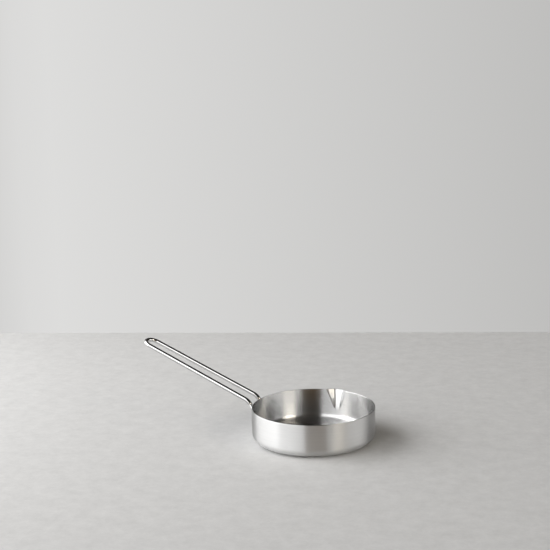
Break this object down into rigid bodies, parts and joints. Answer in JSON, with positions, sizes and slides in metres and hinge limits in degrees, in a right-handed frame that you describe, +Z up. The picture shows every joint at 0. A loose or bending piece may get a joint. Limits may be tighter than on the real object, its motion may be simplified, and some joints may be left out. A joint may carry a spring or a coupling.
{
  "type": "small saucepan",
  "caption": "Shallow round steel pan with a rounded base corner, a beak-shaped pour spout pressed into the rim and a long bent-rod loop handle welded to the wall.",
  "frame": {"origin": "centre of the flat underside of the base, on the surface that the pan stands on", "axes": "+Z up along the bowl's axis, the handle points along -X and the pour spout along +Y"},
  "size_m": [0.2506, 0.1271, 0.0871],
  "materials": {
    "bowl_steel": "stainless sheet with fine brushing that runs round the wall",
    "handle_steel": "polished stainless rod, almost a mirror",
    "weld_steel": "dull fused steel, hidden between foot and wall"
  },
  "bodies": {
    "root": {"pan_bowl": "bowl_steel", "handle_rod": "handle_steel", "spot_weld_left_lower": "weld_steel", "spot_weld_left_upper": "weld_steel", "spot_weld_right_lower": "weld_steel", "spot_weld_right_upper": "weld_steel"}
  },
  "joints": []
}
